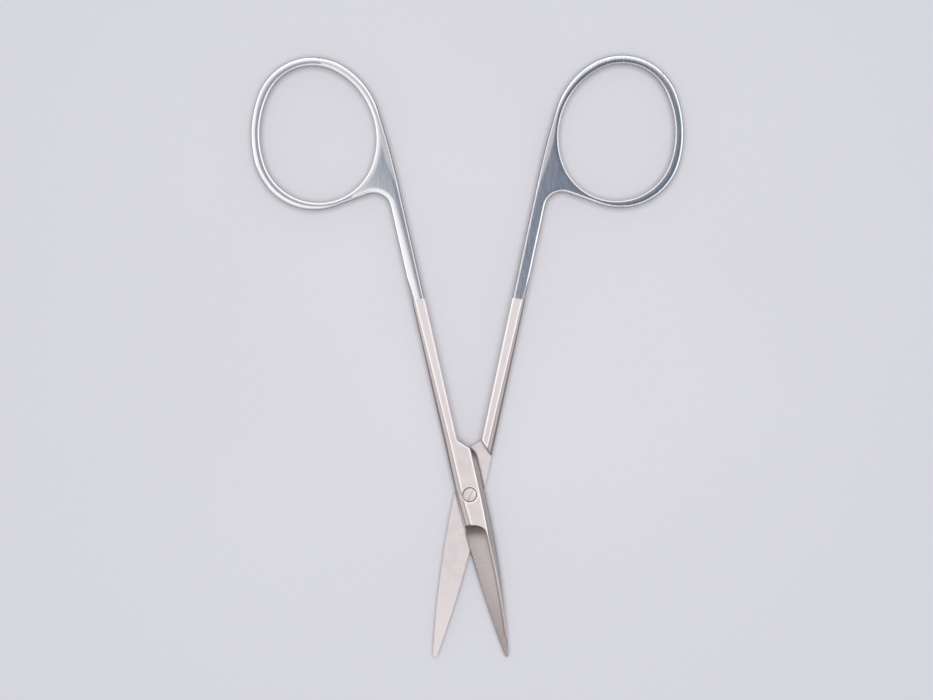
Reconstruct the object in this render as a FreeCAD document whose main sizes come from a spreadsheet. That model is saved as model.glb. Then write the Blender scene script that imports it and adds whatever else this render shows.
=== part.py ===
import FreeCAD, Part
import math
import os
import Sketcher

# Iris scissors, straight, ring handled, 115 mm long when closed.
# Each half is one forging: finger ring, gusset, shank, lap and hollow-ground blade.
# A half is drawn closed and by itself: the pivot is the origin, the ring is at +Y and -X,
# the blade points along -Y, and the face that slides on the other half is at z = 0.
# The lower half is the same forging turned over about the long axis.

# Driving sizes in millimetres and degrees
SIZES = {
    # the two halves together
    "open_angle": 25.0,            # between the halves as they lie
    "half_thickness": 1.65,        # joint, from the sliding face to the outer face
    "lap_gap": 0.03,               # between the two sliding faces
    "shoulder_gap": 0.08,          # lap end to the other half's shoulder when closed
    # finger ring, outer outline of tangent arcs
    "ring_clear": 0.60,            # centre line to the ring when closed
    "ring_width": 24.37,
    "ring_height": 68.78,          # above the pivot, centre of the far arc
    "rim_near_radius": 14.67,
    "rim_near_rise": 2.64,         # above the ring height
    "rim_far_radius": 20.98,
    "rim_top_less": 1.465,         # radius less than half the width
    "rim_bottom_less": 0.845,
    "rim_bottom_reach": 11.75,     # from the ring height down to the lowest point
    # finger ring, inner outline of tangent arcs
    "hole_near_wall": 1.22,
    "hole_far_wall": 1.62,
    "hole_near_radius": 14.14,
    "hole_near_rise": 1.76,
    "hole_far_radius": 17.35,
    "hole_far_rise": 0.54,
    "hole_top_less": 1.865,        # radius less than half the hole's width
    "hole_bottom_less": 0.285,
    "ring_thickness": 2.4,
    "rim_round": 0.42,
    "hole_chamfer": 0.24,
    # gusset and shank
    "gusset_radius": 3.15,
    "gusset_drop": 2.21,           # centre of the gusset's curve below the ring
    "taper_stop": 0.5,             # end of the shank's thinning below that centre
    "lean_radius": 150.0,          # slow curve from the shank into the ring
    "shank_clear": 0.06,           # centre line to the shank when closed
    "shank_width": 2.36,
    "polish_line": 37.0,           # where the rounded, polished handle begins
    # lap, the half-thickness part round the screw
    "lap_width": 5.17,
    "lap_peak": 10.19,             # where the 45 degree lap end would meet the centre line
    "lap_flare": 0.10,             # from the shank's inner side to the lap end
    "lap_flare_height": 12.2,
    "lap_flare_radius": 6.0,
    "lap_corner_radius": 2.4,
    # long bevel down the outer side of the shank and the lap
    "bevel_angle": 50.0,           # from the flat face, also at the spine
    "side_bevel_start": 48.0,
    "side_bevel_polish": 0.55,
    "side_bevel_lap": 1.07,
    "side_bevel_root": 1.42,
    # blade
    "blade_length": 30.4,
    "spine_start": 0.5,            # below the pivot, where the spine begins to curve in
    "spine_radius": 190.0,
    "spine_bevel_lap": 0.90,
    "spine_bevel_tip": 1.28,
    "edge_radius": 230.0,
    "heel": 4.5,                   # below the pivot, where the cutting edge begins
    "tip_width": 0.70,
    "tip_radius": 0.42,
    "hollow_radius": 5.5,          # of the grinding wheel
    "hollow_shoulder": 2.6,        # rounding of the grinding wheel's corner
    "hollow_start": 5.2,
    "hollow_edge": 0.30,           # steel left at the cutting edge before honing
    "hone_angle": 64.0,
    "hone_edge": 0.04,
    # screw
    "screw_head_width": 2.60,
    "screw_head_height": 0.75,
    "screw_stem_width": 1.70,
    "screw_edge": 0.06,
    "screw_running_gap": 0.03,
    "screw_seat_gap": 0.01,
    "slot_width": 0.34,
    "slot_depth": 0.20,
    "slot_angle": 60.0,
}

# Places that follow from the driving sizes
PLACES = {
    "half_turn": "sizes.open_angle / 2",
    "full_thickness": "2 * sizes.half_thickness",
    "inner_face": "sizes.lap_gap / 2",
    "lap_thickness": "sizes.half_thickness - sizes.lap_gap / 2",
    "end_thickness": "sizes.ring_thickness / 2",
    "shank_in": "-sizes.shank_clear",
    "shank_out": "-(sizes.shank_clear + sizes.shank_width)",
    "rim_near_x": "-(sizes.ring_clear + sizes.rim_near_radius)",
    "rim_far_x": "sizes.rim_far_radius - sizes.ring_clear - sizes.ring_width",
    "hole_near_x": "-(sizes.ring_clear + sizes.hole_near_wall + sizes.hole_near_radius)",
    "hole_far_x": "sizes.hole_far_radius + sizes.hole_far_wall - sizes.ring_clear - sizes.ring_width",
    "rim_top_radius": "sizes.ring_width / 2 - sizes.rim_top_less",
    "rim_bottom_radius": "sizes.ring_width / 2 - sizes.rim_bottom_less",
    "hole_width": "sizes.ring_width - sizes.hole_near_wall - sizes.hole_far_wall",
    "hole_top_radius": "hole_width / 2 - sizes.hole_top_less",
    "hole_bottom_radius": "hole_width / 2 - sizes.hole_bottom_less",
    "rim_near_height": "sizes.ring_height + sizes.rim_near_rise",
    "rim_far_height": "sizes.ring_height",
    "hole_near_height": "sizes.ring_height + sizes.hole_near_rise",
    "hole_far_height": "sizes.ring_height + sizes.hole_far_rise",
    "rim_bottom_y": "sizes.ring_height - sizes.rim_bottom_reach + rim_bottom_radius",
    "gusset_x": "shank_out - sizes.gusset_radius",
    "gusset_y": "sizes.ring_height - sizes.rim_bottom_reach - sizes.gusset_drop",
    "taper_end": "gusset_y - sizes.taper_stop",
    "shoulder_in_y": "sizes.lap_peak + sizes.shoulder_gap / cos(45 deg) + shank_in",
    "shoulder_out_y": "sizes.lap_peak + sizes.shoulder_gap / cos(45 deg) + shank_out",
    "spine_x": "sizes.lap_width + shank_out",
    "flare_x": "sizes.lap_flare + shank_in",
    "flare_y": "sizes.lap_peak - flare_x",
    "corner_x": "spine_x - sizes.lap_corner_radius * (1 - cos(45 deg))",
    "corner_y": "sizes.lap_peak - corner_x",
    "corner_end_y": "sizes.lap_peak - spine_x - sizes.lap_corner_radius * tan(22.5 deg)",
    "spine_y": "-sizes.spine_start",
    "tip_y": "-sizes.blade_length",
    "tip_spine_x": "spine_x - sizes.spine_radius"
                   " + sqrt(sizes.spine_radius ^ 2 - (sizes.blade_length - sizes.spine_start) ^ 2)",
    "tip_edge_x": "tip_spine_x - sizes.tip_width",
    "heel_y": "-sizes.heel",
    "side_polish_x": "shank_out + sizes.side_bevel_polish",
    "side_lap_x": "shank_out + sizes.side_bevel_lap",
    "side_root_x": "shank_out + sizes.side_bevel_root",
    "side_turn_y": "sizes.screw_head_width / 2",
    "side_root_y": "-sizes.hollow_start",
    "spine_in_x": "spine_x - sizes.spine_bevel_lap",
    "spine_tip_x": "tip_spine_x - sizes.spine_bevel_tip",
    "hone_in": "(sizes.half_thickness - sizes.hone_edge) / tan(sizes.hone_angle * 1 deg)",
    "hone_heel_x": "shank_out + hone_in",
    "hone_tip_x": "tip_edge_x + hone_in",
    "root_end_y": "-sizes.hollow_start - sizes.hollow_shoulder",
    "under_face": "-sizes.half_thickness",
    "under_end": "-sizes.ring_thickness / 2",
    "hollow_turn": "atan((tip_edge_x - shank_out) / (sizes.blade_length - sizes.heel)) / 1 deg",
    "hollow_x": "shank_out + (sizes.hollow_start - sizes.heel) * tan(hollow_turn * 1 deg)",
    "hollow_axis_z": "sizes.hollow_edge + sizes.hollow_radius",
    "wheel_rim": "-sizes.hollow_radius",
    "wheel_side": "sizes.hollow_shoulder - sizes.hollow_radius",
    "wheel_corner": "-sizes.hollow_shoulder",
    "wheel_far": "-(sizes.blade_length + 3)",
    "seat_width": "sizes.screw_head_width + 2 * sizes.screw_running_gap",
    "seat_depth": "sizes.screw_head_height + sizes.screw_running_gap",
    "stem_bore_width": "sizes.screw_stem_width + 2 * sizes.screw_running_gap",
    "thread_bore_width": "sizes.screw_stem_width + 2 * sizes.screw_seat_gap",
    "stem_radius": "sizes.screw_stem_width / 2",
    "stem_tip_radius": "stem_radius - sizes.screw_edge",
    "head_radius": "sizes.screw_head_width / 2",
    "head_face_radius": "head_radius - sizes.screw_edge",
    "head_under": "full_thickness - sizes.screw_head_height",
    "head_edge": "full_thickness - sizes.screw_edge",
    "slot_left": "-sizes.screw_head_width",
    "slot_right": "sizes.screw_head_width",
    "slot_low": "-sizes.slot_width / 2",
    "slot_high": "sizes.slot_width / 2",
    "far_left": "shank_out - 6",
    "far_right": "spine_x + 6",
    "far_down": "tip_y - 3",
    "far_up": "sizes.ring_height + sizes.ring_width",
}

SHEET = "sizes"
DERIVED = "places"
TOUCH = 1e-3      # closer than this counts as the same place
doc = FreeCAD.newDocument("iris_scissors")


def make_sheet():
    """The spreadsheet with every driving size, and the places worked out from it."""
    sheet = doc.addObject("Spreadsheet::Sheet", SHEET)
    for row, (name, value) in enumerate(SIZES.items(), start=1):
        sheet.set("A%d" % row, name)
        sheet.set("B%d" % row, str(value))
        sheet.setAlias("B%d" % row, name)
    doc.recompute()
    places = doc.addObject("App::VarSet", DERIVED)
    for name, formula in PLACES.items():
        places.addProperty("App::PropertyFloat", name)
        places.setExpression(name, formula)
    doc.recompute()
    return sheet, places


sheet, places = make_sheet()


def size(name):
    """The number of a driving size or of a place, and zero without a name."""
    if not name:
        return 0.0
    return getattr(places, name) if name in PLACES else sheet.get(name)


def ref(name):
    """How an expression names a driving size or a place."""
    return "%s.%s" % (DERIVED if name in PLACES else SHEET, name)


# Sketching

ON_AXIS = None    # stands for a coordinate of zero


def sketch_on(body, name, role, lift=None, shift=(None, None), turn=None, turn_axis=(0, 0, 1)):
    """A sketch on one of the body's origin planes, moved and turned there by named amounts."""
    sketch = body.newObject("Sketcher::SketchObject", name)
    plane = [feature for feature in body.Origin.OriginFeatures if feature.Role == role][0]
    sketch.AttachmentSupport = [(plane, "")]
    sketch.MapMode = "FlatFace"
    moves = dict(zip("xyz", (*shift, lift)))
    base = FreeCAD.Vector(*(size(moves[axis]) for axis in "xyz"))
    rotation = FreeCAD.Rotation(FreeCAD.Vector(*turn_axis), size(turn))
    sketch.AttachmentOffset = FreeCAD.Placement(base, rotation)
    for axis, amount in moves.items():
        if amount:
            sketch.setExpression(".AttachmentOffset.Base." + axis, ref(amount))
    if turn:
        sketch.setExpression(".AttachmentOffset.Rotation.Angle", ref(turn))
    return sketch


def bind(sketch, kind, where, name):
    """A dimension of the sketch that follows a named size."""
    index = sketch.addConstraint(Sketcher.Constraint(kind, *where, size(name)))
    sketch.setExpression("Constraints[%d]" % index, ref(name))


def pin(sketch, geometry, point, x_name, y_name):
    """Fix a point of the sketch by its two named coordinates."""
    for kind, name, axis in (("DistanceX", x_name, -2), ("DistanceY", y_name, -1)):
        if name is ON_AXIS:
            sketch.addConstraint(Sketcher.Constraint("PointOnObject", geometry, point, axis))
        else:
            bind(sketch, kind, (-1, 1, geometry, point), name)


def line(sketch, start, end):
    return sketch.addGeometry(Part.LineSegment(FreeCAD.Vector(*start, 0), FreeCAD.Vector(*end, 0)))


def arc(sketch, centre, radius, start, end):
    """A counter-clockwise arc between two angles."""
    circle = Part.Circle(FreeCAD.Vector(*centre, 0), FreeCAD.Vector(0, 0, 1), radius)
    return sketch.addGeometry(Part.ArcOfCircle(circle, start, end))


def bearing(centre, point):
    """The angle at which a point is seen from a centre."""
    return math.atan2(point[1] - centre[1], point[0] - centre[0])


def arc_centre(start, end, radius, left):
    """The centre of the short arc between two points, left or right of the way from one to the other."""
    half_x, half_y = (end[0] - start[0]) / 2, (end[1] - start[1]) / 2
    half = math.hypot(half_x, half_y)
    reach = math.sqrt(radius ** 2 - half ** 2) / half * (1 if left else -1)
    return start[0] + half_x - half_y * reach, start[1] + half_y + half_x * reach


def closed_outline(sketch, corners):
    """A loop through named corners. A corner is (x, y), or (x, y, radius, side) where an arc
    leaves it with its centre on that side."""
    count = len(corners)
    ends = []
    for index, corner in enumerate(corners):
        following = corners[(index + 1) % count]
        start = size(corner[0]), size(corner[1])
        end = size(following[0]), size(following[1])
        if len(corner) == 2:
            geometry = line(sketch, start, end)
            ends.append((geometry, 1, 2))
            continue
        left = corner[3] == "left"
        centre = arc_centre(start, end, size(corner[2]), left)
        if left:
            geometry = arc(sketch, centre, size(corner[2]), bearing(centre, start), bearing(centre, end))
            ends.append((geometry, 1, 2))
        else:
            geometry = arc(sketch, centre, size(corner[2]), bearing(centre, end), bearing(centre, start))
            ends.append((geometry, 2, 1))
        bind(sketch, "Radius", (geometry,), corner[2])
    for index, (geometry, start, end) in enumerate(ends):
        following = ends[(index + 1) % count]
        sketch.addConstraint(Sketcher.Constraint("Coincident", geometry, end, following[0], following[1]))
        pin(sketch, geometry, start, corners[index][0], corners[index][1])


# The oval of a finger ring

def inner_centre(near, near_reach, far, far_reach, upper):
    """The centre that lies at two given distances from two centres, the upper or the lower one."""
    gap_x, gap_y = far[0] - near[0], far[1] - near[1]
    gap = math.hypot(gap_x, gap_y)
    along = (near_reach ** 2 - far_reach ** 2 + gap ** 2) / (2 * gap)
    across = math.sqrt(near_reach ** 2 - along ** 2)
    choices = []
    for side in (1, -1):
        x = near[0] + (gap_x * along - gap_y * across * side) / gap
        y = near[1] + (gap_y * along + gap_x * across * side) / gap
        choices.append((x, y))
    choices.sort(key=lambda centre: centre[1])
    return choices[1] if upper else choices[0]


def oval_sides(prefix):
    """Centres of the two long arcs of a ring, the near side facing the other ring."""
    near = size(prefix + "_near_x"), size(prefix + "_near_height")
    far = size(prefix + "_far_x"), size(prefix + "_far_height")
    return near, far


def oval_end(prefix, end, upper):
    """Centre of the top or the bottom arc, which runs into both long ones."""
    near, far = oval_sides(prefix)
    radius = size("%s_%s_radius" % (prefix, end))
    return inner_centre(near, size(prefix + "_near_radius") - radius,
                        far, size(prefix + "_far_radius") - radius, upper)


def bind_oval_side(sketch, geometry, side):
    """Fix the centre and the radius of one of the two long arcs."""
    pin(sketch, geometry, 3, side + "_x", side + "_height")
    bind(sketch, "Radius", (geometry,), side + "_radius")


def draw_rim(sketch):
    """The handle's outline: up the shank's inner side, round the ring, along the gusset, down again."""
    polish = size("polish_line")
    near, far = oval_sides("rim")
    top = oval_end("rim", "top", True)
    lean = size("shank_in") - size("lean_radius")
    rise = math.sqrt((size("lean_radius") - size("rim_near_radius")) ** 2 - (near[0] - lean) ** 2)
    lean_centre = lean, near[1] - rise
    bottom_y = size("rim_bottom_y")
    reach = size("rim_far_radius") - size("rim_bottom_radius")
    bottom = far[0] - math.sqrt(reach ** 2 - (far[1] - bottom_y) ** 2), bottom_y
    gusset = size("gusset_x"), size("gusset_y")
    tangent_sum = size("rim_bottom_radius") + size("gusset_radius")
    spacing = math.hypot(gusset[0] - bottom[0], gusset[1] - bottom[1])
    slope = bearing(bottom, gusset) + math.asin(tangent_sum / spacing)
    down = slope - math.pi / 2
    underside_start = (bottom[0] + size("rim_bottom_radius") * math.cos(down),
                       bottom[1] + size("rim_bottom_radius") * math.sin(down))
    underside_end = (gusset[0] - size("gusset_radius") * math.cos(down),
                     gusset[1] - size("gusset_radius") * math.sin(down))

    inner_side = line(sketch, (size("shank_in"), polish), (size("shank_in"), lean_centre[1]))
    leaning = arc(sketch, lean_centre, size("lean_radius"), 0, bearing(lean_centre, near))
    near_arc = arc(sketch, near, size("rim_near_radius"), bearing(lean_centre, near), bearing(near, top))
    top_arc = arc(sketch, top, size("rim_top_radius"), bearing(near, top), bearing(far, top))
    far_arc = arc(sketch, far, size("rim_far_radius"), bearing(far, top), bearing(far, bottom))
    bottom_arc = arc(sketch, bottom, size("rim_bottom_radius"), bearing(far, bottom), down)
    underside = line(sketch, underside_start, underside_end)
    gusset_arc = arc(sketch, gusset, size("gusset_radius"), 0, slope + math.pi / 2)
    outer_side = line(sketch, (size("shank_out"), gusset[1]), (size("shank_out"), polish))
    foot = line(sketch, (size("shank_out"), polish), (size("shank_in"), polish))

    joins = [(inner_side, 2, leaning, 1), (leaning, 2, near_arc, 1), (near_arc, 2, top_arc, 1),
             (top_arc, 2, far_arc, 1), (far_arc, 2, bottom_arc, 1), (bottom_arc, 2, underside, 1),
             (underside, 2, gusset_arc, 2), (gusset_arc, 1, outer_side, 1)]
    for join in joins:
        sketch.addConstraint(Sketcher.Constraint("Tangent", *join))
    sketch.addConstraint(Sketcher.Constraint("Coincident", outer_side, 2, foot, 1))
    sketch.addConstraint(Sketcher.Constraint("Coincident", foot, 2, inner_side, 1))
    sketch.addConstraint(Sketcher.Constraint("Vertical", inner_side))
    sketch.addConstraint(Sketcher.Constraint("Vertical", outer_side))
    pin(sketch, inner_side, 1, "shank_in", "polish_line")
    pin(sketch, outer_side, 2, "shank_out", "polish_line")
    bind(sketch, "Radius", (leaning,), "lean_radius")
    bind_oval_side(sketch, near_arc, "rim_near")
    bind_oval_side(sketch, far_arc, "rim_far")
    bind(sketch, "Radius", (top_arc,), "rim_top_radius")
    bind(sketch, "Radius", (bottom_arc,), "rim_bottom_radius")
    bind(sketch, "DistanceY", (-1, 1, bottom_arc, 3), "rim_bottom_y")
    bind(sketch, "Radius", (gusset_arc,), "gusset_radius")
    bind(sketch, "DistanceY", (-1, 1, gusset_arc, 3), "gusset_y")


def draw_hole(sketch):
    """The finger hole: four tangent arcs."""
    near, far = oval_sides("hole")
    top = oval_end("hole", "top", True)
    bottom = oval_end("hole", "bottom", False)
    near_arc = arc(sketch, near, size("hole_near_radius"), bearing(near, bottom), bearing(near, top))
    top_arc = arc(sketch, top, size("hole_top_radius"), bearing(near, top), bearing(far, top))
    far_arc = arc(sketch, far, size("hole_far_radius"), bearing(far, top), bearing(far, bottom))
    bottom_arc = arc(sketch, bottom, size("hole_bottom_radius"), bearing(far, bottom), bearing(near, bottom))
    arcs = [near_arc, top_arc, far_arc, bottom_arc]
    for geometry, following in zip(arcs, arcs[1:] + arcs[:1]):
        sketch.addConstraint(Sketcher.Constraint("Tangent", geometry, 2, following, 1))
    bind_oval_side(sketch, near_arc, "hole_near")
    bind_oval_side(sketch, far_arc, "hole_far")
    bind(sketch, "Radius", (top_arc,), "hole_top_radius")
    bind(sketch, "Radius", (bottom_arc,), "hole_bottom_radius")


# Solid features

def pad(body, name, sketch, length, both_ways=False):
    feature = body.newObject("PartDesign::Pad", name)
    feature.Profile = sketch
    feature.Midplane = both_ways
    feature.setExpression("Length", ref(length))
    doc.recompute()
    return feature


def pocket(body, name, sketch, length=None, upward=False, both_ways=False, taper=None):
    """Cut a sketch away from its plane, down or up, through all where no length is named."""
    before = body.Shape.Volume
    feature = body.newObject("PartDesign::Pocket", name)
    feature.Profile = sketch
    feature.Reversed = upward
    feature.Midplane = both_ways
    if length:
        feature.setExpression("Length", ref(length))
    else:
        feature.Type = 1
    if taper:
        feature.setExpression("TaperAngle", taper)
    doc.recompute()
    if not before - body.Shape.Volume > TOUCH:
        raise ValueError("%s cuts nothing" % name)
    return feature


def finish_edges(body, kind, name, keep, amount):
    """Round or chamfer every edge of the body that the given test keeps."""
    base = body.Tip
    names = ["Edge%d" % (number + 1) for number, edge in enumerate(base.Shape.Edges) if keep(edge)]
    feature = body.newObject("PartDesign::" + kind, name)
    feature.Base = (base, names)
    feature.setExpression("Radius" if kind == "Fillet" else "Size", ref(amount))
    doc.recompute()
    return feature


def middle(edge):
    return edge.valueAt((edge.FirstParameter + edge.LastParameter) / 2)


def is_upright(edge):
    first, last = edge.Vertexes[0].Point, edge.Vertexes[-1].Point
    return math.hypot(first.x - last.x, first.y - last.y) < TOUCH


def is_across(edge):
    first, last = edge.Vertexes[0].Point, edge.Vertexes[-1].Point
    return abs(first.y - last.y) < TOUCH


# One half

def taper_handle(body):
    """Thin the handle on both faces, from the polish line to just below the ring."""
    for name, thick, thin in (("top", "half_thickness", "end_thickness"),
                              ("under", "under_face", "under_end")):
        sketch = sketch_on(body, name + "_taper_line", "YZ_Plane")
        closed_outline(sketch, [("polish_line", thick), ("taper_end", thin),
                                ("far_up", thin), ("far_up", thick)])
        pocket(body, name + "_taper", sketch, both_ways=True)


def make_handle(body):
    """Ring, gusset and the polished part of the shank, tapered and rounded."""
    rim = sketch_on(body, "rim_outline", "XY_Plane")
    draw_rim(rim)
    pad(body, "rim", rim, "full_thickness", both_ways=True)
    taper_handle(body)
    polish = size("polish_line")

    def on_rim(edge):
        return middle(edge).y > polish + TOUCH and not is_upright(edge) and not is_across(edge)

    finish_edges(body, "Fillet", "rim_rounding", on_rim, "rim_round")
    hole = sketch_on(body, "finger_hole_outline", "XY_Plane")
    draw_hole(hole)
    pocket(body, "finger_hole", hole, both_ways=True)
    arcs = [(edge.Curve.Center, edge.Curve.Radius) for edge in hole.Shape.Edges]

    def on_hole(edge):
        point = middle(edge)
        return not is_upright(edge) and any(
            abs(math.hypot(point.x - centre.x, point.y - centre.y) - radius) < TOUCH
            for centre, radius in arcs)

    finish_edges(body, "Chamfer", "finger_hole_chamfer", on_hole, "hole_chamfer")


def make_shank_and_lap(body):
    """The satin shank at full thickness, and the lap and blade blank at half thickness."""
    shank = sketch_on(body, "shank_outline", "XY_Plane")
    closed_outline(shank, [("shank_in", "polish_line"), ("shank_out", "polish_line"),
                           ("shank_out", "shoulder_out_y"), ("shank_in", "shoulder_in_y")])
    pad(body, "shank", shank, "full_thickness", both_ways=True)
    lap = sketch_on(body, "lap_outline", "XY_Plane", lift="inner_face")
    closed_outline(lap, [
        ("shank_in", "lap_flare_height"),
        ("shank_out", "lap_flare_height"),
        ("shank_out", "heel_y", "edge_radius", "left"),
        ("tip_edge_x", "tip_y", "tip_radius", "left"),
        ("tip_spine_x", "tip_y", "spine_radius", "left"),
        ("spine_x", "spine_y"),
        ("spine_x", "corner_end_y", "lap_corner_radius", "left"),
        ("corner_x", "corner_y"),
        ("flare_x", "flare_y", "lap_flare_radius", "right"),
    ])
    pad(body, "lap", lap, "lap_thickness")


def grind_bevels(body):
    """The long side bevel on both faces of the shank, and the spine bevel."""
    slope = "(%s - 90) * 1 deg" % ref("bevel_angle")
    upper = sketch_on(body, "side_bevel_line", "XY_Plane", lift="half_thickness")
    closed_outline(upper, [
        ("shank_out", "side_bevel_start"), ("far_left", "side_bevel_start"), ("far_left", "root_end_y"),
        ("side_root_x", "root_end_y"), ("side_root_x", "side_root_y"), ("side_lap_x", "side_turn_y"),
        ("side_lap_x", "lap_peak"), ("side_polish_x", "polish_line")])
    pocket(body, "side_bevel", upper, "half_thickness", taper=slope)
    under = sketch_on(body, "under_bevel_line", "XY_Plane", lift="under_face")
    closed_outline(under, [
        ("shank_out", "side_bevel_start"), ("far_left", "side_bevel_start"), ("far_left", "side_turn_y"),
        ("side_lap_x", "side_turn_y"), ("side_lap_x", "lap_peak"), ("side_polish_x", "polish_line")])
    pocket(body, "under_bevel", under, "half_thickness", upward=True, taper=slope)
    spine = sketch_on(body, "spine_bevel_line", "XY_Plane", lift="half_thickness")
    closed_outline(spine, [
        ("spine_in_x", "lap_peak"), ("spine_in_x", "spine_y", "spine_radius", "right"),
        ("spine_tip_x", "tip_y"), ("spine_tip_x", "far_down"), ("far_right", "far_down"),
        ("far_right", "lap_peak")])
    pocket(body, "spine_bevel", spine, "half_thickness", taper=slope)


def grind_hollow(body):
    """The hollow of the outer face: a wheel whose axis runs above the cutting edge."""
    sketch = sketch_on(body, "hollow_wheel", "YZ_Plane", shift=("side_root_y", "hollow_axis_z"),
                       lift="hollow_x", turn="hollow_turn", turn_axis=(0, 1, 0))
    closed_outline(sketch, [
        (ON_AXIS, ON_AXIS), ("wheel_far", ON_AXIS), ("wheel_far", "wheel_rim"),
        ("wheel_corner", "wheel_rim", "hollow_shoulder", "left"), (ON_AXIS, "wheel_side")])
    before = body.Shape.Volume
    groove = body.newObject("PartDesign::Groove", "hollow")
    groove.Profile = sketch
    groove.ReferenceAxis = (sketch, ["H_Axis"])
    groove.Angle = 360.0
    doc.recompute()
    if not before - body.Shape.Volume > TOUCH:
        raise ValueError("the hollow cuts nothing")


def hone_edge(body):
    """The steep narrow bevel that makes the cutting edge."""
    sketch = sketch_on(body, "hone_line", "XY_Plane", lift="half_thickness")
    closed_outline(sketch, [
        ("hone_heel_x", "heel_y"), ("far_left", "heel_y"), ("far_left", "far_down"),
        ("hone_tip_x", "far_down"), ("hone_tip_x", "tip_y", "edge_radius", "right")])
    pocket(body, "hone", sketch, "half_thickness", taper="(%s - 90) * 1 deg" % ref("hone_angle"))


def bore(body, name, diameter, lift=None, length=None, upward=False):
    sketch = sketch_on(body, name + "_circle", "XY_Plane", lift=lift)
    circle = sketch.addGeometry(Part.Circle(FreeCAD.Vector(), FreeCAD.Vector(0, 0, 1), size(diameter) / 2))
    sketch.addConstraint(Sketcher.Constraint("Coincident", circle, 3, -1, 1))
    bind(sketch, "Diameter", (circle,), diameter)
    pocket(body, name, sketch, length, upward=upward)


def make_half(label):
    body = doc.addObject("PartDesign::Body", label)
    body.Label = label
    make_handle(body)
    make_shank_and_lap(body)
    grind_bevels(body)
    grind_hollow(body)
    hone_edge(body)
    return body


def make_upper_half():
    body = make_half("upper_half")
    bore(body, "head_seat", "seat_width", "half_thickness", "seat_depth")
    bore(body, "stem_bore", "stem_bore_width", "half_thickness", "half_thickness")
    body.Placement = FreeCAD.Placement(
        FreeCAD.Vector(0, 0, size("half_thickness")),
        FreeCAD.Rotation(FreeCAD.Vector(0, 0, 1), size("half_turn")))
    return body


def make_lower_half():
    body = make_half("lower_half")
    bore(body, "screw_thread_bore", "thread_bore_width", "half_thickness", "half_thickness")
    turned = FreeCAD.Rotation(FreeCAD.Vector(0, 0, 1), -size("half_turn"))
    flipped = FreeCAD.Rotation(FreeCAD.Vector(0, 1, 0), 180)
    body.Placement = FreeCAD.Placement(
        FreeCAD.Vector(0, 0, size("half_thickness")), turned.multiply(flipped))
    return body


def make_screw():
    """A slotted screw: flat head flush with the upper half, stem flush with the underside."""
    body = doc.addObject("PartDesign::Body", "joint_screw")
    body.Label = "joint_screw"
    section = sketch_on(body, "screw_section", "XZ_Plane")
    closed_outline(section, [
        (ON_AXIS, ON_AXIS), ("stem_tip_radius", ON_AXIS), ("stem_radius", "screw_edge"),
        ("stem_radius", "head_under"), ("head_radius", "head_under"), ("head_radius", "head_edge"),
        ("head_face_radius", "full_thickness"), (ON_AXIS, "full_thickness")])
    turn = body.newObject("PartDesign::Revolution", "screw_turning")
    turn.Profile = section
    turn.ReferenceAxis = (section, ["V_Axis"])
    turn.Angle = 360.0
    doc.recompute()
    slot = sketch_on(body, "slot_outline", "XY_Plane", lift="full_thickness",
                     turn="slot_angle")
    closed_outline(slot, [("slot_left", "slot_low"), ("slot_right", "slot_low"),
                          ("slot_right", "slot_high"), ("slot_left", "slot_high")])
    pocket(body, "slot", slot, "slot_depth")
    return body


parts = [make_upper_half(), make_lower_half(), make_screw()]
doc.recompute()

for item in doc.Objects:
    if "Invalid" in item.State or "Error" in item.State:
        raise ValueError("%s failed" % item.Label)
os.makedirs("parts", exist_ok=True)
for part in parts:
    if part.Shape.isNull() or not part.Shape.isValid() or len(part.Shape.Solids) != 1:
        raise ValueError("%s is not one good solid" % part.Label)
    part.Shape.exportStep("parts/%s.step" % part.Label)
    box = part.Shape.BoundBox
    print("%s: %.1f x %.1f x %.2f mm, volume %.1f mm3"
          % (part.Label, box.XLength, box.YLength, box.ZLength, part.Shape.Volume))
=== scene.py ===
import math

import bpy
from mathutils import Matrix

# Iris scissors lying half open on a pale table, seen from straight above.
# Lengths in the steel's shaders are millimetres in the frame of one closed half: the pivot
# is the origin, the ring is at +Y and -X, the blade at -Y, and the sliding face at Z = 0.

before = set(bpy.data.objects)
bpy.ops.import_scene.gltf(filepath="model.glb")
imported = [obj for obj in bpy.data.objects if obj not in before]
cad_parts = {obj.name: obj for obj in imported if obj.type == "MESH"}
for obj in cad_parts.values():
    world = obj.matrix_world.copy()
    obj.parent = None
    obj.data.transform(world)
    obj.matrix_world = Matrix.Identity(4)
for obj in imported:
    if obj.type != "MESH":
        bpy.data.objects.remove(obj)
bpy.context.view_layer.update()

MM = 0.001
HALF_TURN = math.radians(12.5)
HALF_THICKNESS = 1.65
POLISH_LINE = 37.0
HOLLOW_START = -5.2
HOLLOW_EDGE = 0.30
WHEEL_RADIUS = 5.5
WHEEL_SHOULDER = 2.6
WHEEL_TURN = math.radians(4.64)
WHEEL_X = -2.363
SHOULDER_LINE = 0.26
SHOULDER_REACH = 1.30
SPINE_CENTRE, SPINE_RADIUS = (-187.25, -0.5), 190.0


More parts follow.
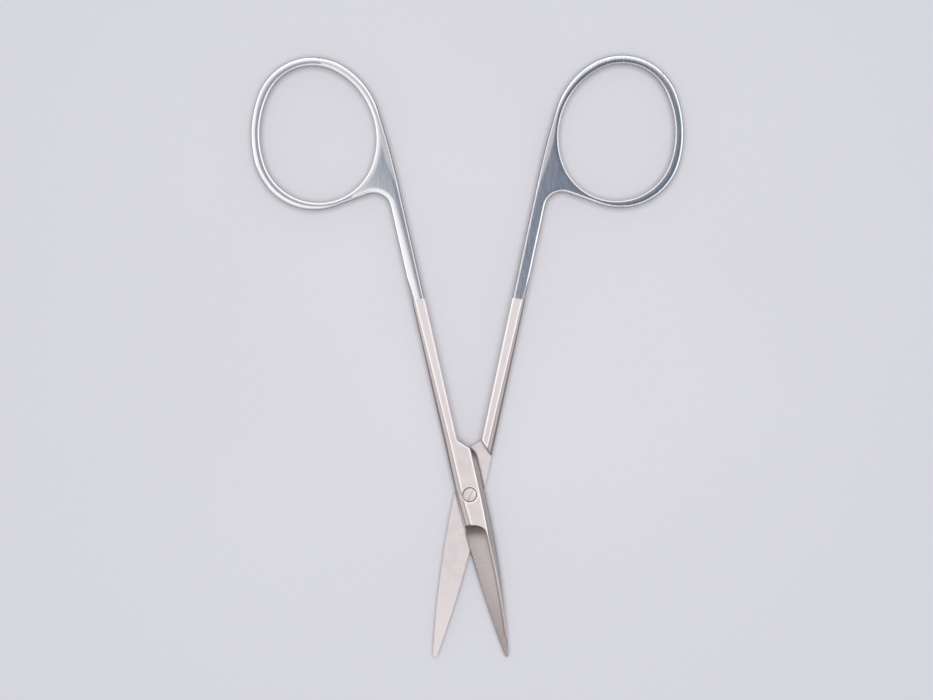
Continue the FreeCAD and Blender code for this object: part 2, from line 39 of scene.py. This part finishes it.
class Shader:
    """Nodes of one material or world, fed with numbers or with other nodes' outputs."""

    def __init__(self, tree):
        self.tree = tree
        tree.nodes.clear()

    def node(self, kind, **settings):
        made = self.tree.nodes.new(kind)
        for name, value in settings.items():
            setattr(made, name, value)
        return made

    def feed(self, socket, value):
        if isinstance(value, bpy.types.NodeSocket):
            self.tree.links.new(value, socket)
        else:
            socket.default_value = value

    def math(self, operation, *values, clamp=False):
        made = self.node("ShaderNodeMath", operation=operation, use_clamp=clamp)
        for socket, value in zip(made.inputs, values):
            self.feed(socket, value)
        return made.outputs[0]

    def chain(self, operation, values):
        """One operation through all the values in turn."""
        result = values[0]
        for value in values[1:]:
            result = self.math(operation, result, value)
        return result

    def add(self, *values):
        return self.chain("ADD", values)

    def times(self, *values):
        return self.chain("MULTIPLY", values)

    def largest(self, *values):
        return self.chain("MAXIMUM", values)

    def smallest(self, *values):
        return self.chain("MINIMUM", values)

    def minus(self, first, second):
        return self.math("SUBTRACT", first, second)

    def without(self, mask):
        """Where a mask isn't."""
        return self.minus(1.0, mask)

    def unsigned(self, value):
        return self.math("ABSOLUTE", value)

    def above(self, value, limit):
        return self.math("GREATER_THAN", value, limit)

    def below(self, value, limit):
        return self.math("LESS_THAN", value, limit)

    def step(self, value, low, high):
        """Rises smoothly from 0 at low to 1 at high."""
        made = self.node("ShaderNodeMapRange", interpolation_type="SMOOTHSTEP")
        self.feed(made.inputs["Value"], value)
        made.inputs["From Min"].default_value = min(low, high)
        made.inputs["From Max"].default_value = max(low, high)
        made.inputs["To Min"].default_value = 0.0 if low < high else 1.0
        made.inputs["To Max"].default_value = 1.0 if low < high else 0.0
        return made.outputs["Result"]

    def mix(self, factor, first, second):
        """Between two numbers."""
        made = self.node("ShaderNodeMix", data_type="FLOAT")
        self.feed(made.inputs[0], factor)
        self.feed(made.inputs[2], first)
        self.feed(made.inputs[3], second)
        return made.outputs[0]

    def blend(self, factor, first, second, how="MIX"):
        """Between two colours."""
        made = self.node("ShaderNodeMix", data_type="RGBA", blend_type=how)
        self.feed(made.inputs[0], factor)
        self.feed(made.inputs[6], first)
        self.feed(made.inputs[7], second)
        return made.outputs[2]

    def point(self, x, y, z):
        made = self.node("ShaderNodeCombineXYZ")
        for socket, value in zip(made.inputs, (x, y, z)):
            self.feed(socket, value)
        return made.outputs[0]

    def grey(self, value):
        return self.point(value, value, value)

    def parts(self, vector):
        made = self.node("ShaderNodeSeparateXYZ")
        self.feed(made.inputs[0], vector)
        return made.outputs

    def length(self, across, along):
        return self.math("SQRT", self.add(self.times(across, across), self.times(along, along)))

    def away(self, x, y, centre):
        """Distance from a centre in the plane."""
        return self.length(self.minus(x, centre[0]), self.minus(y, centre[1]))

    def own_place(self):
        """The object's own coordinates, in metres."""
        return self.node("ShaderNodeTexCoord").outputs["Object"]

    def turned_place(self, angle):
        """The parts of the object's own coordinates, turned about Z."""
        turned = self.node("ShaderNodeVectorRotate", rotation_type="Z_AXIS")
        self.feed(turned.inputs["Vector"], self.own_place())
        turned.inputs["Angle"].default_value = angle
        return self.parts(turned.outputs[0])

    def noise(self, vector, scale, detail):
        made = self.node("ShaderNodeTexNoise")
        self.feed(made.inputs["Vector"], vector)
        made.inputs["Scale"].default_value = scale
        made.inputs["Detail"].default_value = detail
        return made.outputs["Fac"]

    def lifted(self, normal, factor):
        """The normal turned part of the way to the vertical."""
        x, y, z = self.parts(normal)
        side = self.math("SIGN", z)
        flat = self.without(factor)
        turned = self.node("ShaderNodeVectorMath", operation="NORMALIZE")
        leaning = self.point(self.times(x, flat), self.times(y, flat), self.mix(factor, z, side))
        self.feed(turned.inputs[0], leaning)
        return turned.outputs[0]

    def bump(self, height):
        """A bump node whose height is in millimetres."""
        made = self.node("ShaderNodeBump")
        made.inputs["Distance"].default_value = MM
        self.feed(made.inputs["Height"], height)
        return made

    def finish(self, inputs):
        """The material's output, with these inputs of its surface."""
        surface = self.node("ShaderNodeBsdfPrincipled")
        for name, value in inputs.items():
            self.feed(surface.inputs[name], value)
        output = self.node("ShaderNodeOutputMaterial")
        self.feed(output.inputs["Surface"], surface.outputs[0])


def new_material(name):
    """A material, and the shader that fills it."""
    material = bpy.data.materials.new(name)
    material.use_nodes = True
    return material, Shader(material.node_tree)


def colour(red, green, blue):
    """An sRGB colour in 0 to 255 as linear light."""
    linear = []
    for value in (red, green, blue):
        share = value / 255
        linear.append(share / 12.92 if share <= 0.04045 else ((share + 0.055) / 1.055) ** 2.4)
    return (*linear, 1.0)


# Outlines of a half

# Arcs of the ring's outlines as (centre, radius): near, far, top, bottom
RIM_ARCS = (
    ((-15.27, 71.42), 14.67),
    ((-3.99, 68.78), 20.98),
    ((-12.61, 74.34), 10.72),
    ((-13.62, 68.37), 11.34),
)
HOLE_ARCS = (
    ((-15.96, 70.54), 14.14),
    ((-6.00, 69.32), 17.35),
    ((-12.62, 74.58), 8.90),
    ((-12.84, 68.63), 10.48),
)
RING_MIDDLE = 70.5
LEAN_CENTRE, LEAN_RADIUS = (-150.06, 59.34), 150.0
GUSSET_CENTRE, GUSSET_RADIUS = (-5.57, 54.82), 3.15
UNDERSIDE_END, UNDERSIDE_SLOPE = (-5.98, 57.94), math.radians(7.55)
RING_LEFT_OF, RING_ABOVE = -12.2, 72.6      # where the ring's own arcs bound the handle
OUTLINE_BLEND = 0.25


def half_place(shader, lower):
    """Coordinates in the closed half's own frame, in millimetres."""
    x, y, z = shader.turned_place(HALF_TURN if lower else -HALF_TURN)
    side = -1.0 if lower else 1.0
    x = shader.times(x, side / MM)
    y = shader.times(y, 1 / MM)
    z = shader.times(shader.minus(z, HALF_THICKNESS * MM), side / MM)
    return x, y, z


def oval_distance(shader, x, y, arcs):
    """Distance outside the oval of four tangent arcs, negative inside."""
    near, far, top, bottom = arcs
    reach = [shader.minus(shader.away(x, y, centre), radius) for centre, radius in arcs]
    ends = []
    for (corner, _), upward, corner_reach in ((top, 1, reach[2]), (bottom, -1, reach[3])):
        turns = []
        for centre, _ in (near, far):
            way = (corner[0] - centre[0]) * upward, (corner[1] - centre[1]) * upward
            turns.append(shader.minus(shader.times(shader.minus(y, corner[1]), way[0]),
                                      shader.times(shader.minus(x, corner[0]), way[1])))
        is_far = shader.times(shader.above(turns[1], 0.0), shader.below(x, corner[0]))
        is_near = shader.times(shader.below(turns[0], 0.0), shader.above(x, corner[0]))
        distance = shader.mix(is_near, corner_reach, reach[0])
        ends.append(shader.mix(is_far, distance, reach[1]))
    return shader.mix(shader.above(y, RING_MIDDLE), ends[1], ends[0])


def near_side_depth(shader, x, y):
    """Depth inside the handle from the side that faces the other half."""
    past = shader.largest(shader.minus(y, LEAN_CENTRE[1]), 0.0)
    reach = shader.away(x, shader.add(past, LEAN_CENTRE[1]), LEAN_CENTRE)
    return shader.minus(LEAN_RADIUS, reach)


def handle_depth(shader, half):
    """Depth inside the handle's flat face from its nearest outline."""
    x, y = half.x, half.y
    past = shader.largest(shader.minus(y, GUSSET_CENTRE[1]), 0.0)
    reach = shader.away(x, shader.add(past, GUSSET_CENTRE[1]), GUSSET_CENTRE)
    gusset = shader.minus(reach, GUSSET_RADIUS)
    underside = shader.minus(
        shader.times(shader.minus(y, UNDERSIDE_END[1]), math.cos(UNDERSIDE_SLOPE)),
        shader.times(shader.minus(x, UNDERSIDE_END[0]), math.sin(UNDERSIDE_SLOPE)))
    outer_side = shader.mix(shader.below(x, UNDERSIDE_END[0]), gusset, underside)
    shank = shader.smallest(half.near_side, outer_side)
    ring = shader.times(oval_distance(shader, x, y, RIM_ARCS), -1.0)
    in_ring = shader.largest(shader.below(x, RING_LEFT_OF), shader.above(y, RING_ABOVE))
    outline = shader.mix(in_ring, shank, ring)
    return shader.math("SMOOTH_MIN", outline, half.hole_side, OUTLINE_BLEND)


def in_hollow(shader, x, y, z):
    """Masks of the faces that the grinding wheel has hollowed, and of their shoulder end, where
    shade is painted.
    """
    aside, beyond = shader.minus(x, WHEEL_X), shader.minus(HOLLOW_START, y)
    sine, cosine = math.sin(WHEEL_TURN), math.cos(WHEEL_TURN)
    across = shader.minus(shader.times(aside, cosine), shader.times(beyond, sine))
    down = shader.add(shader.times(aside, sine), shader.times(beyond, cosine))
    rise = shader.minus(z, HOLLOW_EDGE + WHEEL_RADIUS)
    out = shader.minus(shader.length(across, rise), WHEEL_RADIUS - WHEEL_SHOULDER)
    short = shader.minus(WHEEL_SHOULDER, down)
    corner = shader.length(shader.largest(out, 0.0), shader.largest(short, 0.0))
    wheel = shader.step(corner, WHEEL_SHOULDER + 0.05, WHEEL_SHOULDER + 0.02)
    edge_side = shader.times(shader.below(across, SHOULDER_REACH), shader.above(z, HOLLOW_EDGE))
    hollow = shader.times(shader.largest(wheel, edge_side), shader.above(down, SHOULDER_LINE))
    spine_end, shoulder_end = shader.step(across, 1.0, 3.4), shader.step(down, 4.6, 0.6)
    return hollow, shader.times(spine_end, shoulder_end, hollow)


# Steel

# Relief in millimetres
CROWN_WIDTH = 1.15
RING_CROWN = -0.016
TAPER_END, TAPER_SLOPE = 54.3, 0.45 / 17.3
GRINDING_DEPTH = 0.003
BLASTING_DEPTH = 0.003
LAP_ROUNDING, SATIN_ROUNDING = 0.10, 0.70
SLOPE_LIFT = 0.55

# Zones and marks: limits in millimetres, how upright a face stands, and the slot's angle
POLISH_FADE = 0.10
OUTER_FACE_ABOVE = 0.4
FLAT_RISE, SLOPE_RISE = 0.9, 0.4
HOLE_EDGE_WIDTH = 0.4
BEVEL_FALL, BEVEL_GROWTH = 0.655, 0.0214
SPINE_LINE_DEPTH, SPINE_LINE_SLOPE, SPINE_RIDGE_BESIDE = 1.68, 0.045, 0.38
SPINE_LINE_FADE = 0.20, 0.06
SCRATCH_ACROSS, SCRATCH_Y = -2.1, 4.75
CREVICE_REACH = 0.5
SCREW_ANGLE = math.radians(-60)

# What sets one half's handle apart from the other's
UPPER = {
    "crown": -0.014,
    "lean": -0.009,
    "brushing": 0.0001,
    "rounding": 0.20,
    "dark_line": (0.66, 0.66, 0.67, 1),
    "light_line": (0.72, 0.71, 0.71, 1),
    # strength of the painted shade at the finger hole's edge
    "hole_edge_shade": 0.05,
}
LOWER = {
    "crown": -0.002,
    "lean": 0.0,
    "brushing": 0.0003,
    "rounding": 0.13,
    "dark_line": (0.58, 0.585, 0.60, 1),
    "light_line": (0.79, 0.78, 0.78, 1),
    # strength of the painted shade at the finger hole's edge
    "hole_edge_shade": 0.30,
}

# Colours in linear light
SATIN_DARK, SATIN_LIGHT = (0.580, 0.525, 0.532, 1), (0.635, 0.577, 0.583, 1)
SATIN_TIP, SATIN_SHANK = (0.655, 0.595, 0.588, 1), (0.622, 0.578, 0.584, 1)
GROUND_DARK, GROUND_LIGHT = (0.345, 0.305, 0.302, 1), (0.39, 0.346, 0.343, 1)
HANDLE_DULL = (0.48, 0.475, 0.49, 1)
# painted highlights along the ridges and along the spine
RIDGE_HIGHLIGHT, SPINE_HIGHLIGHT = (0.86, 0.81, 0.81, 1), (0.80, 0.76, 0.76, 1)
# painted light on the bevels: the outer ones lit, the spine-side ones shaded
BEVEL_OUTER_LIT, BEVEL_SPINE_SHADED = (0.70, 0.635, 0.61, 1), (0.50, 0.47, 0.45, 1)
# painted shade, also the colour of the real scratch on the lower lap
SHADE_AND_SCRATCH = (0.075, 0.052, 0.044, 1)
SCREW_DARK, SCREW_LIGHT = (0.42, 0.36, 0.35, 1), (0.74, 0.665, 0.65, 1)
# painted shade of the gap around the screw head
SCREW_RIM_SHADE = (0.05, 0.04, 0.038, 1)


class Half:
    """Coordinates, zones and marks on one half, as outputs of its shader's nodes."""

    def __init__(self, shader, lower):
        self.look = LOWER if lower else UPPER
        self.x, self.y, self.z = half_place(shader, lower)
        self.near_side = near_side_depth(shader, self.x, self.y)
        self.hole_side = oval_distance(shader, self.x, self.y, HOLE_ARCS)
        self.polished = shader.step(self.y, POLISH_LINE - POLISH_FADE, POLISH_LINE + POLISH_FADE)
        self.satin = shader.without(self.polished)
        self.hollow, self.hollow_end_shade = in_hollow(shader, self.x, self.y, self.z)
        self.outer_face = shader.above(shader.unsigned(self.z), OUTER_FACE_ABOVE)
        self.low_blade = shader.step(self.y, -11.0, -15.0)

        # marks of brushing along the handle and of grinding across the blade
        raw_x, raw_y, raw_z = shader.parts(shader.own_place())
        fine, slow = 9.0 / MM, 0.35 / MM
        along = shader.point(
            shader.times(raw_x, fine), shader.times(raw_y, slow), shader.times(raw_z, fine))
        across = shader.point(
            shader.times(self.x, 0.5), shader.times(self.y, 11.0), shader.times(self.z, 2.0))
        self.brushed = shader.noise(along, 1.0, 3.0)
        self.ground = shader.noise(across, 1.0, 3.0)

        # how the true face and its rounded normal stand
        own_normal = shader.node("ShaderNodeNewGeometry").outputs["True Normal"]
        self.own_rise = shader.unsigned(shader.parts(own_normal)[2])
        self.flat = shader.above(self.own_rise, FLAT_RISE)
        bevel = shader.node("ShaderNodeBevel", samples=8)
        satin_round = shader.mix(self.outer_face, LAP_ROUNDING * MM, SATIN_ROUNDING * MM)
        radius = shader.mix(self.polished, satin_round, self.look["rounding"] * MM)
        shader.feed(bevel.inputs["Radius"], radius)
        self.rounded = bevel.outputs[0]


def relief(shader, half):
    """Height of the handle's crown and taper and of the marks on all faces."""
    depth = handle_depth(shader, half)
    rest = shader.without(shader.math("DIVIDE", depth, CROWN_WIDTH, clamp=True))
    on_ring = shader.step(half.y, 54.0, 60.0)
    crown_height = shader.mix(on_ring, half.look["crown"], RING_CROWN)
    crown = shader.times(rest, rest, crown_height, half.polished)

    # the handle's thinning, blended into the flat ring
    past = shader.largest(shader.minus(half.y, POLISH_LINE), 0.0)
    level = shader.times(shader.smallest(past, TAPER_END - POLISH_LINE), TAPER_SLOPE)
    beside = shader.smallest(shader.add(half.x, 9.0), 0.0)
    lean = shader.times(beside, half.look["lean"], shader.step(half.y, 52.0, 56.0))

    grain = shader.noise(shader.point(half.x, half.y, half.z), 9.0, 2.0)
    below_joint = shader.step(half.y, HOLLOW_START + 1.0, HOLLOW_START)
    brushing = shader.times(shader.minus(half.brushed, 0.5), half.look["brushing"], half.polished)
    grinding = shader.times(shader.minus(half.ground, 0.5), GRINDING_DEPTH, below_joint)
    blasting = shader.times(shader.minus(grain, 0.5), BLASTING_DEPTH, half.satin)
    return shader.add(crown, level, lean, brushing, grinding, blasting)


def dull_side(shader, half):
    """Mask of the ring's side that faces the other half, which stays duller."""
    width = shader.times(shader.step(half.y, 54.0, 64.5), shader.step(half.y, 77.0, 65.5), 1.15)
    inside = shader.minus(half.near_side, width)
    return shader.times(shader.step(inside, 0.30, -0.45), half.polished,
                        shader.step(half.y, 55.0, 61.0), shader.step(half.y, 77.0, 70.0))


def faces_colour(shader, half, dull):
    """Colour of the open faces: satin, ground and polished."""
    cloud = shader.noise(shader.point(half.x, half.y, half.z), 0.5, 3.0)
    mottle = shader.add(shader.times(cloud, 0.6), shader.times(half.brushed, 0.4))
    satin = shader.blend(shader.step(mottle, 0.35, 0.65), SATIN_DARK, SATIN_LIGHT)
    satin = shader.blend(shader.step(half.y, -12.0, -24.0), satin, SATIN_TIP)
    satin = shader.blend(shader.step(half.y, 10.0, 25.0), satin, SATIN_SHANK)

    ground = shader.blend(shader.step(half.ground, 0.3, 0.7), GROUND_DARK, GROUND_LIGHT)
    # painted shade on the hollow: darker near its root by the shoulder and towards the tip
    root = shader.step(half.y, HOLLOW_START - 4.0, HOLLOW_START - 0.6)
    tip = shader.step(half.y, -14.0, -28.0)
    root_and_tip_shade = shader.without(shader.add(shader.times(root, 0.56), shader.times(tip, 0.18)))
    ground = shader.blend(1.0, ground, shader.grey(root_and_tip_shade), "MULTIPLY")

    lines = shader.step(half.brushed, 0.30, 0.70)
    bright = shader.blend(lines, half.look["dark_line"], half.look["light_line"])
    handle = shader.blend(dull, bright, HANDLE_DULL)
    return shader.blend(half.polished, shader.blend(half.hollow, satin, ground), handle)


def spine_lines(shader, half):
    """Masks of the painted shade line along the blade's back, and of the painted highlight beside
    it.
    """
    inside = shader.minus(SPINE_RADIUS, shader.away(half.x, half.y, SPINE_CENTRE))
    line_depth = shader.add(SPINE_LINE_DEPTH, shader.times(half.y, SPINE_LINE_SLOPE))
    to_line = shader.minus(inside, line_depth)
    to_ridge = shader.add(to_line, SPINE_RIDGE_BESIDE)
    blade = shader.times(shader.above(half.z, OUTER_FACE_ABOVE), shader.step(half.y, -6.2, -7.2))
    shade_line = shader.times(shader.step(shader.unsigned(to_line), *SPINE_LINE_FADE), blade)
    ridge_highlight = shader.times(shader.step(shader.unsigned(to_ridge), *SPINE_LINE_FADE), blade,
                         shader.without(half.low_blade))
    return shade_line, ridge_highlight


def worn_scratch(shader, half):
    """Mask of the small scratch on the lower half's lap."""
    slanted = shader.add(half.x, shader.times(shader.minus(half.y, SCRATCH_Y), 0.5))
    reach = shader.away(shader.times(slanted, 2.0), half.y, (SCRATCH_ACROSS, SCRATCH_Y))
    return shader.step(reach, 0.34, 0.18)


def steel(name, lower):
    """Stainless steel of one half: polished handle, satin shank and lap, ground blade."""
    material, shader = new_material(name)
    half = Half(shader, lower)
    dull = dull_side(shader, half)
    base = faces_colour(shader, half, dull)

    # painted highlight along the ridges
    facing = shader.parts(half.rounded)
    upright = shader.unsigned(facing[2])
    matt = shader.times(half.satin, shader.without(half.hollow), half.outer_face)
    lengthwise = shader.mix(shader.step(facing[1], 0.22, 0.08), 0.35, 1.0)
    ridge_highlight = shader.times(shader.step(upright, 0.997, 0.945), half.flat, matt, lengthwise,
                         shader.without(half.low_blade))
    spine_shade_line, spine_highlight = spine_lines(shader, half)
    base = shader.blend(ridge_highlight, base, RIDGE_HIGHLIGHT)
    base = shader.blend(spine_highlight, base, SPINE_HIGHLIGHT)

    # the long bevels in painted light, the outer ones lit and the spine-side ones shaded, and
    # painted shade along their foot and their upper edge
    bevels = shader.times(shader.without(half.flat), matt)
    spine_side = shader.above(half.x, 0.0)
    base = shader.blend(bevels, base, shader.blend(spine_side, BEVEL_OUTER_LIT, BEVEL_SPINE_SHADED))
    below_polish = shader.minus(POLISH_LINE, half.y)
    whole_fall = shader.add(BEVEL_FALL, shader.times(below_polish, BEVEL_GROWTH))
    fallen = shader.minus(HALF_THICKNESS, shader.unsigned(half.z))
    fall = shader.math("DIVIDE", fallen, whole_fall)
    past_lap = shader.times(spine_side, shader.step(half.y, 5.5, 3.5))
    foot_shade = shader.times(shader.step(fall, 0.60, 0.74), bevels, shader.without(past_lap))
    brow_shade = shader.times(shader.step(fall, 0.30, 0.18), bevels)

    # painted shade darkens steep sides, tight corners, the screw's seat, the spine's line and the
    # edges of the polish
    steep_satin_shade = shader.mix(
        half.hollow, shader.step(upright, 0.60, 0.30), shader.step(upright, 0.90, 0.50))
    steep_shade = shader.mix(half.polished, steep_satin_shade, shader.step(upright, 0.80, 0.45))
    hidden = shader.node("ShaderNodeAmbientOcclusion", samples=6)
    hidden.inputs["Distance"].default_value = CREVICE_REACH * MM
    crevice_shade = shader.step(hidden.outputs["AO"], 0.96, 0.50)
    from_pivot = shader.away(half.x, half.y, (0.0, 0.0))
    seat_shade = shader.times(shader.step(from_pivot, 1.42, 1.34), half.outer_face)
    hole_edge_shade = shader.times(shader.step(half.hole_side, 0.55, 0.35), half.polished)
    hole_wall_shade = shader.times(shader.step(half.hole_side, 0.09, 0.03), half.polished)
    near_edge_shade = shader.times(shader.step(half.near_side, 0.50, 0.30), half.polished,
                             shader.step(half.y, 60.0, 56.0))
    darkened = [
        (foot_shade, 0.66),
        (brow_shade, 0.30),
        (steep_shade, 0.70),
        (crevice_shade, 0.88),
        (seat_shade, 0.75),
        (spine_shade_line, 0.42),
        (half.hollow_end_shade, 0.45),
        (hole_edge_shade, half.look["hole_edge_shade"]),
        (near_edge_shade, 0.38),
        (hole_wall_shade, 0.6),
    ]
    # a real scratch on the lower half's lap, darkened in the same colour
    if lower:
        darkened.append((worn_scratch(shader, half), 0.6))
    shade_and_scratch = shader.largest(*(shader.times(mask, strength) for mask, strength in darkened))
    base = shader.blend(shade_and_scratch, base, SHADE_AND_SCRATCH)

    shine = shader.mix(dull, shader.mix(half.brushed, 0.05, 0.09), 0.26)
    roughness = shader.mix(half.polished, shader.mix(half.hollow, 0.36, 0.32), shine)
    slopes = shader.times(
        shader.below(half.own_rise, FLAT_RISE), shader.above(half.own_rise, SLOPE_RISE),
        shader.below(half.hole_side, HOLE_EDGE_WIDTH), half.polished)
    bump = shader.bump(relief(shader, half))
    shader.feed(bump.inputs["Normal"],
                shader.lifted(half.rounded, shader.times(slopes, SLOPE_LIFT)))
    shader.finish({
        "Metallic": 1.0,
        "Base Color": base,
        "Roughness": roughness,
        "Normal": bump.outputs[0],
    })
    return material


def screw_steel():
    """Satin steel of the screw, ground across at the angle of its slot."""
    material, shader = new_material("screw_steel")
    x, y, z = shader.turned_place(SCREW_ANGLE)
    coarse, fine = 300.0, 5000.0
    stretched = shader.point(
        shader.times(x, coarse), shader.times(y, fine), shader.times(z, coarse))
    lines = shader.noise(stretched, 1.0, 2.0)
    bump = shader.bump(shader.times(lines, 0.01))
    reach = shader.away(shader.times(x, 1 / MM), shader.times(y, 1 / MM), (0.0, 0.0))
    # painted shade in the gap around the head's rim
    rim_shade = shader.step(reach, 1.17, 1.26)
    face = shader.blend(shader.step(lines, 0.38, 0.60), SCREW_DARK, SCREW_LIGHT)
    shader.finish({
        "Metallic": 1.0,
        "Base Color": shader.blend(shader.times(rim_shade, 0.7), face, SCREW_RIM_SHADE),
        "Roughness": 0.38,
        "Normal": bump.outputs[0],
    })
    return material


def dress(node, material):
    """Give a part its material."""
    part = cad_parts[node]
    for slot in part.material_slots:
        slot.material = material


dress("upper_half", steel("upper_steel_look", False))
dress("lower_half", steel("lower_steel_look", True))
dress("joint_screw", screw_steel())

# Table

bpy.ops.mesh.primitive_plane_add(size=6.0, location=(0, 0, 0))
table = bpy.context.object
table.name = "table"
white, shader = new_material("table_white")
x, y, z = shader.parts(shader.own_place())
reach = shader.away(shader.times(x, 1 / MM), shader.times(y, 1 / MM), (0.0, 35.0))
# painted falloff of light: the table darkens away from the middle
light_falloff = shader.step(reach, 10.0, 120.0)
patches = shader.noise(shader.point(x, y, z), 18.0, 2.0)
tone = shader.blend(shader.step(patches, 0.35, 0.65), colour(221, 220, 227), colour(219, 218, 225))
shader.finish({
    "Base Color": shader.blend(light_falloff, tone, colour(214, 214, 222)),
    "Roughness": 0.9,
    "Specular IOR Level": 0.1,
})
table.data.materials.append(white)

# Room, as the steel mirrors it: a soft box overhead with a darker patch in it, strips lower
# down, and walls of which the right one is dimmer

GLOW_TOP = 1.35
GLOW_STRIP_NEAR, GLOW_STRIP_FAR = 0.80, 1.75
GLOW_WALL_LEFT, GLOW_WALL_RIGHT = 1.0, 0.50
VEIL, PATCH = (0.32, 0.36, 0.44, 1), (0.155, 0.195, 0.285, 1)
ROOM_LIGHT = (0.34, 0.34, 0.34, 1)

world = bpy.data.worlds.new("studio")
bpy.context.scene.world = world
world.use_nodes = True
shader = Shader(world.node_tree)
x, y, z = shader.parts(shader.node("ShaderNodeTexCoord").outputs["Generated"])
height = shader.largest(z, 0.02)
right = shader.math("DIVIDE", x, height)
back = shader.math("DIVIDE", y, height)
within = shader.times(
    shader.step(right, 0.15, 0.09), shader.step(back, -0.22, -0.16), shader.step(back, 0.13, 0.06))
slant = shader.largest(shader.minus(back, 0.018), 0.0)
veil = shader.times(shader.step(shader.add(right, slant), -0.016, 0.012), within)
patch = shader.times(shader.step(right, 0.01, 0.065), within)
wall = shader.mix(shader.step(x, -0.5, 0.5), GLOW_WALL_LEFT, GLOW_WALL_RIGHT)
strip = shader.mix(shader.step(y, -0.15, -0.55), GLOW_STRIP_FAR, GLOW_STRIP_NEAR)
sides = shader.mix(shader.step(z, 0.15, 0.45), wall, strip)
glow = shader.mix(shader.step(z, 0.72, 0.95), sides, GLOW_TOP)
mirrored = shader.blend(veil, shader.grey(glow), VEIL)
mirrored = shader.blend(patch, mirrored, PATCH)
rays = shader.node("ShaderNodeLightPath").outputs
room = shader.node("ShaderNodeBackground")
shader.feed(room.inputs["Color"], shader.blend(rays["Is Glossy Ray"], ROOM_LIGHT, mirrored))
pale = shader.node("ShaderNodeBackground")
pale.inputs["Color"].default_value = colour(219, 218, 225)
seen = shader.node("ShaderNodeMixShader")
shader.feed(seen.inputs[0], rays["Is Camera Ray"])
shader.feed(seen.inputs[1], room.outputs[0])
shader.feed(seen.inputs[2], pale.outputs[0])
output = shader.node("ShaderNodeOutputWorld")
shader.feed(output.inputs["Surface"], seen.outputs[0])

# A wide lamp straight above leaves the table's shadows narrow and soft

key = bpy.data.lights.new("overhead", "SUN")
key.energy = 0.66 * math.pi
key.angle = math.radians(45)
lamp = bpy.data.objects.new("overhead", key)
lamp.location = (0.0, 0.0, 1.0)
lamp.visible_glossy = False
bpy.context.scene.collection.objects.link(lamp)

# Camera: straight above, the pivot a little right of and well below the picture's middle

camera = bpy.data.cameras.new("camera")
camera.sensor_width = 36.0
camera.lens = 126.22
camera.clip_start = 0.01
view = bpy.data.objects.new("camera", camera)
view.location = (-0.43 * MM, 26.56 * MM, 603.3 * MM)
view.rotation_euler = (0, 0, math.radians(-0.38))
bpy.context.scene.collection.objects.link(view)
bpy.context.scene.camera = view
bpy.context.scene.view_settings.view_transform = "Standard"
